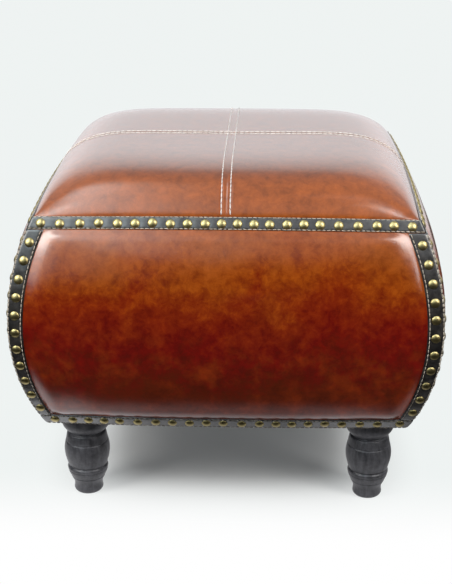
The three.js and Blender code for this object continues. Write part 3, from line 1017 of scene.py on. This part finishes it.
def one_staple():
    bm = bmesh.new()
    bmesh.ops.create_cube(bm, size=1)
    bmesh.ops.scale(bm, verts=bm.verts, vec=(STAPLE_WIDTH, STAPLE_WIRE, STAPLE_WIRE))
    bmesh.ops.bevel(
        bm, geom=bm.edges[:], offset=STAPLE_WIRE * 0.3, segments=1, profile=0.5, affect="EDGES", material=-1
    )
    return mesh_of(bm, "one staple")


staple = one_staple()
bm = bmesh.new()
for turn in range(4):
    for i in range(STAPLE_COUNT):
        x = (2 * (i + 0.5) / STAPLE_COUNT - 1) * (COVER_HALF - STAPLE_END) + chance.gauss(0, STAPLE_STRAY[0])
        y = -COVER_HALF + STAPLE_INSET + chance.gauss(0, STAPLE_STRAY[1])
        spot = Matrix.Translation((x, y, BASE_HEIGHT - STAPLE_SUNK))
        tilt = Matrix.Rotation(chance.gauss(0, STAPLE_TILT), 4, "Z")
        put(bm, staple, side_turn(turn) @ spot @ tilt)
cover_staples = new_piece("dust_cover_staples", bm, zinc)
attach(cover_staples, "root")


# Legs
# Four turned hardwood legs, stained black, with a satin finish that is rubbed thin in patches.
# Each is screwed to the base board by a hanger bolt and a threaded insert.
LEG_PLACE = 0.17731
LEG_STEPS = 64
LEG_OUTLINE = [
    (0, 0), (15.2, 0), (16.4, 0.5), (17.5, 1.8), (18.2, 3.4), (18.3, 4.6), (18.0, 6.5), (17.7, 9.0),
    (17.75, 11.5), (18.1, 13.5), (18.9, 15.6), (19.8, 17.6), (20.9, 19.6), (21.4, 20.6), (21.1, 21.0),
    (21.2, 21.5), (21.9, 22.0), (22.3, 23.0), (23.1, 25.0), (24.0, 27.0), (24.6, 29.0), (24.9, 30.4),
    (24.6, 31.0), (24.7, 31.5), (25.3, 32.0), (25.5, 33.0), (25.5, 34.4), (25.1, 35.6), (24.2, 36.4),
    (23.5, 37.0), (23.6, 37.6), (24.4, 38.4), (25.2, 40.0), (25.9, 43.0), (26.9, 46.5), (27.7, 50.0),
    (28.3, 54.0), (28.5, 58.0), (28.5, 60.5), (28.2, 63.5), (27.6, 67.0), (27.1, 69.2), (26.9, 70.2),
    (26.2, 70.8), (26.1, 71.6), (26.4, 72.1), (26.1, 73.0), (25.6, 76.0), (25.0, 79.0), (24.4, 81.6),
    (23.8, 82.8), (22.6, 83.4), (21.9, 84.3), (22.1, 85.4), (23.5, 86.1), (24.6, 87.0), (25.9, 88.5),
    (27.6, 90.4), (29.1, 92.8), (30.2, 95.8), (30.6, 99.5), (30.6, 112.0), (30.1, 112.6), (0, 112.6),
]  # radius and height in millimetres
STAIN_BLACK = (0.026, 0.026, 0.030, 1)
STAIN_RUBBED = (0.105, 0.106, 0.118, 1)
LEG_GRAIN_SCALE = 260
TOOL_RINGS = (3, 3, 420)  # fine along Z


def black_wood():
    """Black stained wood with faint tool rings round the axis and grain along it."""
    material, tree, surface, place = new_material("black stained wood")
    grain = effect(tree, wood_grain, place, LEG_GRAIN_SCALE)
    wear = cloudy(tree, place, 70, 7, roughness=0.7)
    rubbed = mixed(tree, 0.35, wear, grain, "FLOAT")
    color = color_ramp(tree, rubbed, [(0.40, STAIN_BLACK), (0.66, STAIN_RUBBED)])
    finished(tree, surface, color, ranged(tree, wear, 0.3, 0.7, 0.36, 0.52))
    rings = cloudy(tree, stretched(tree, place, TOOL_RINGS), 1, 2)
    height = calculated(tree, "MULTIPLY_ADD", rings, 0.5, grain)
    bumped(tree, surface, height, strength=0.18, distance=0.0004)
    return material


leg_wood = black_wood()


def turned_leg():
    bm = bmesh.new()
    line = [bm.verts.new((radius / 1000, 0, height / 1000)) for radius, height in LEG_OUTLINE]
    spin_line(bm, line, LEG_STEPS)
    return bm


for corner, (x, y) in CORNERS.items():
    leg = new_piece("turned_leg_" + corner, turned_leg(), leg_wood)
    spot = Matrix.Translation((x * LEG_PLACE, y * LEG_PLACE, 0))
    leg.data.transform(spot @ Matrix.Rotation(chance.uniform(0, 6), 4, "Z"))
    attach(leg, "root")
    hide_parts("leg_" + corner)
    refinish("leg_bolt_" + corner, zinc)
    refinish("leg_insert_" + corner, zinc)


# Floor, lights and camera
# A pale floor runs on into a pale backdrop. Six soft boxes in front of the stool light it. All but the
# fill box also show in the glossy leather, with a bright room behind the stool, a dark one in front of it
# and a skylight high on the left.
BACKDROP = (0.86, 0.895, 0.887, 1)
FLOOR_BOUNCE = (0.45, 0.45, 0.45, 1)  # what lights the stool from below
FLOOR_SEEN = (0.92, 0.94, 0.94, 1)
FLOOR_FRONT = (1.0, 1.0, 1.0, 1)
FLOOR_HALF = 8
FLOOR_DROP = 0.0002
FRONT_WHITE = (-0.11, -0.31)  # along Y, where the floor turns white towards the camera
WHITE_REACH = (1.2, 0.6)
SHADOW_REACH = (0.13, 0.26)  # from the middle, where the shadow fades
SHADOW_LEAST = 0.09  # how much the shadow is thinned under the stool
MIRRORED_FLOOR = (1.38, 1.38, 1.42, 1)
MIRRORED_REACH = (0.56, 0.42)
MIRRORED_ACROSS = [
    (0.05, 0.60), (0.20, 0.80), (0.29, 1.00), (0.33, 0.80), (0.39, 0.51),
    (0.58, 0.41), (0.64, 0.58), (0.69, 0.66), (0.78, 0.24), (0.90, 0.18),
]  # how much of it is mirrored from left to right, by x + 0.5
MIRRORED_FAR = (1.2, 1.8)  # along Y, where the floor far behind is mirrored bright too
DARK_HALF = (0.46, 0.34)  # the dark floor in front: half its width
DARK_FRONT = (-0.24, -0.31)  # its edge along Y
DARK_STEP = (-0.17, -0.24)  # where along X this edge steps forward
ROOM_FRONT = [
    (0.00, (0.01, 0.01, 0.01, 1)),
    (0.30, (0.012, 0.012, 0.012, 1)),
    (0.46, (0.18, 0.18, 0.19, 1)),
    (0.54, (0.42, 0.46, 0.52, 1)),
    (0.64, (0.55, 0.56, 0.60, 1)),
    (0.80, (0.42, 0.44, 0.50, 1)),
    (1.00, (0.42, 0.44, 0.48, 1)),
]  # what the leather mirrors in front of the stool, by the sine of the elevation
ROOM_BEHIND = (1.15, 1.15, 1.18, 1)
ROOM_DIFFUSE = (0.80, 0.82, 0.86, 1)
ARCH_MIDDLE = 0.15  # the bright room behind ends in an arch
ARCH_BEND = 0.36
ARCH_EDGE = (1.01, 0.72)
SKYLIGHT = (2.7, 3.2, 3.4, 1)  # high on the left
SKYLIGHT_SPANS = [("X", -0.08, -0.24), ("X", -0.56, -0.42), ("Y", 0.40, 0.20), ("Z", 0.42, 0.54)]
LEFT_GLOW = (0.75, 0.95, 1.05, 1)  # and low on the left
GLOW_SPANS = [("X", -0.15, -0.34), ("Y", 0, -0.2), ("Z", 0.06, 0.28), ("Z", 0.56, 0.44)]
SOFT_BOXES = {
    "left_box": ((-0.98, -0.77, 1.14), (0.54, 0.70), 11.3, (1.0, 0.98, 0.95)),
    "right_box": ((0.89, -0.82, 1.22), (0.62, 0.75), 11.9, (1.0, 0.98, 0.95)),
    "low_left_box": ((-1.00, -0.84, 0.63), (0.45, 0.45), 1.2, (1.0, 0.98, 0.97)),
    "low_right_box": ((1.06, -0.80, 0.66), (0.30, 0.34), 1.8, (1.0, 0.98, 0.97)),
    "fill_box": ((-0.80, -0.80, 1.80), (1.7, 0.7), 5.2, (0.94, 0.97, 1.07)),
    "upper_right_box": ((0.60, -0.60, 1.90), (0.5, 0.7), 0.4, (0.90, 0.98, 1.10)),
}  # place, size, power and colour
LIT_HEIGHT = 0.3  # the boxes point at the stool at this height
CAMERA_DISTANCE = 1.666
CAMERA_ELEVATION = math.radians(20.5)
CAMERA_AZIMUTH = math.radians(1.87)
AIM_HEIGHT = 0.2034
FOCAL_PIXELS = 1229
FRAME_PIXELS = 584
SHIFT_PIXELS = 5.96


def glow(tree, kind, color, strength=1):
    """An even light, of an Emission or a Background node."""
    return add_node(tree, kind, {"Color": color, "Strength": strength}).outputs[0]


def either(tree, mask, under, over):
    """Changes from one shader to another where the mask is 1."""
    return add_node(tree, "ShaderNodeMixShader", {0: mask, 1: under, 2: over}).outputs[0]


def floor_material():
    """A pale floor that keeps the shadow near the stool and fades to the backdrop's white round it.
    It is mirrored bright near the stool and far behind, and dark in front, where the camera stands.
    From below it is clear."""
    material, tree, surface, place = new_material("pale floor")
    rays = add_node(tree, "ShaderNodeLightPath").outputs
    color = mixed(tree, rays["Is Camera Ray"], FLOOR_BOUNCE, FLOOR_SEEN)
    connect(tree, surface, {"Base Color": color, "Roughness": 0.9, "Specular IOR Level": 0.1})
    x, y, _ = axes_of(tree, place)
    squared = vectored(tree, "MULTIPLY", place, place)["Vector"]
    squarish = calculated(tree, "POWER", vectored(tree, "DOT_PRODUCT", squared, squared)["Value"], 0.25)
    far = vectored(tree, "LENGTH", place)["Value"]
    in_white = masked(tree, eased(tree, y, *FRONT_WHITE), eased(tree, far, *WHITE_REACH))
    white = glow(tree, "ShaderNodeEmission", mixed(tree, in_white, BACKDROP, FLOOR_FRONT))
    outside = eased(tree, squarish, *SHADOW_REACH)
    faded = calculated(tree, "MULTIPLY_ADD", outside, 1 - SHADOW_LEAST, SHADOW_LEAST)
    plain = either(tree, masked(tree, rays["Is Camera Ray"], faded), surface.outputs["BSDF"], white)
    middle = eased(tree, calculated(tree, "ABSOLUTE", x), *DARK_HALF)
    edge = calculated(tree, "MULTIPLY_ADD", eased(tree, x, *DARK_STEP), 0.03, y)
    dark = masked(tree, middle, eased(tree, edge, *DARK_FRONT))
    stops = [(at, (level, level, level, 1)) for at, level in MIRRORED_ACROSS]
    sideways = color_ramp(tree, calculated(tree, "ADD", x, 0.5), stops)
    near = masked(tree, eased(tree, far, *MIRRORED_REACH), calculated(tree, "SUBTRACT", 1, dark), sideways)
    behind = calculated(tree, "MULTIPLY", eased(tree, y, *MIRRORED_FAR), 0.65)
    level = calculated(tree, "MAXIMUM", calculated(tree, "MAXIMUM", near, behind), 0.01)
    mirrored = glow(tree, "ShaderNodeEmission", MIRRORED_FLOOR, level)
    shown = either(tree, rays["Is Glossy Ray"], plain, mirrored)
    below = add_node(tree, "ShaderNodeNewGeometry").outputs["Backfacing"]
    shown = either(tree, below, shown, add_node(tree, "ShaderNodeBsdfTransparent").outputs["BSDF"])
    connect(tree, tree.nodes["Material Output"], {"Surface": shown})
    return material


bm = bmesh.new()
bmesh.ops.create_grid(bm, x_segments=1, y_segments=1, size=FLOOR_HALF)
floor = new_piece("floor", bm, floor_material())
floor.data.transform(Matrix.Translation((0, 0, -FLOOR_DROP)))

world = bpy.data.worlds.new("room")
bpy.context.scene.world = world
world.use_nodes = True
tree = world.node_tree
tree.nodes.clear()
rays = add_node(tree, "ShaderNodeLightPath").outputs
direction = add_node(tree, "ShaderNodeTexCoord").outputs["Generated"]
axes = axes_of(tree, direction)


def part_of_room(spans):
    """A mask over directions, from spans of (axis, where it is 0, where it is 1)."""
    return masked(tree, *[eased(tree, axes[axis], low, high) for axis, low, high in spans])


ahead = calculated(tree, "MAXIMUM", axes["Y"], 0.001)
aside = calculated(tree, "SUBTRACT", calculated(tree, "DIVIDE", axes["X"], ahead), ARCH_MIDDLE)
climb = calculated(tree, "DIVIDE", axes["Z"], ahead)
arch = calculated(tree, "MULTIPLY_ADD", calculated(tree, "MULTIPLY", aside, aside), ARCH_BEND, climb)
color = mixed(tree, eased(tree, arch, *ARCH_EDGE), color_ramp(tree, axes["Z"], ROOM_FRONT), ROOM_BEHIND)
color = mixed(tree, part_of_room(SKYLIGHT_SPANS), color, SKYLIGHT)
color = mixed(tree, part_of_room(GLOW_SPANS), color, LEFT_GLOW)
room = glow(tree, "ShaderNodeBackground", ROOM_DIFFUSE, 0.20)
room = either(tree, rays["Is Glossy Ray"], room, glow(tree, "ShaderNodeBackground", color))
room = either(tree, rays["Is Camera Ray"], room, glow(tree, "ShaderNodeBackground", BACKDROP))
add_node(tree, "ShaderNodeOutputWorld", {"Surface": room})

for name, (spot, size, power, color) in SOFT_BOXES.items():
    lamp = bpy.data.lights.new(name, "AREA")
    lamp.shape = "RECTANGLE"
    lamp.size, lamp.size_y = size
    lamp.energy = power
    lamp.color = color
    box = bpy.data.objects.new(name, lamp)
    box.location = spot
    box.rotation_euler = (Vector((0, 0, LIT_HEIGHT)) - Vector(spot)).to_track_quat("-Z", "Y").to_euler()
    box.visible_camera = False
    box.visible_glossy = name != "fill_box"
    bpy.context.scene.collection.objects.link(box)

lens = bpy.data.cameras.new("camera")
lens.lens = FOCAL_PIXELS / FRAME_PIXELS * lens.sensor_width
lens.shift_x = -SHIFT_PIXELS / FRAME_PIXELS
camera = bpy.data.objects.new("camera", lens)
level = math.cos(CAMERA_ELEVATION)
back = Vector(
    (math.sin(CAMERA_AZIMUTH) * level, -math.cos(CAMERA_AZIMUTH) * level, math.sin(CAMERA_ELEVATION))
)
camera.location = Vector((0, 0, AIM_HEIGHT)) + back * CAMERA_DISTANCE
camera.rotation_euler = (-back).to_track_quat("-Z", "Y").to_euler()
bpy.context.scene.collection.objects.link(camera)
bpy.context.scene.camera = camera
bpy.context.scene.view_settings.view_transform = "Standard"
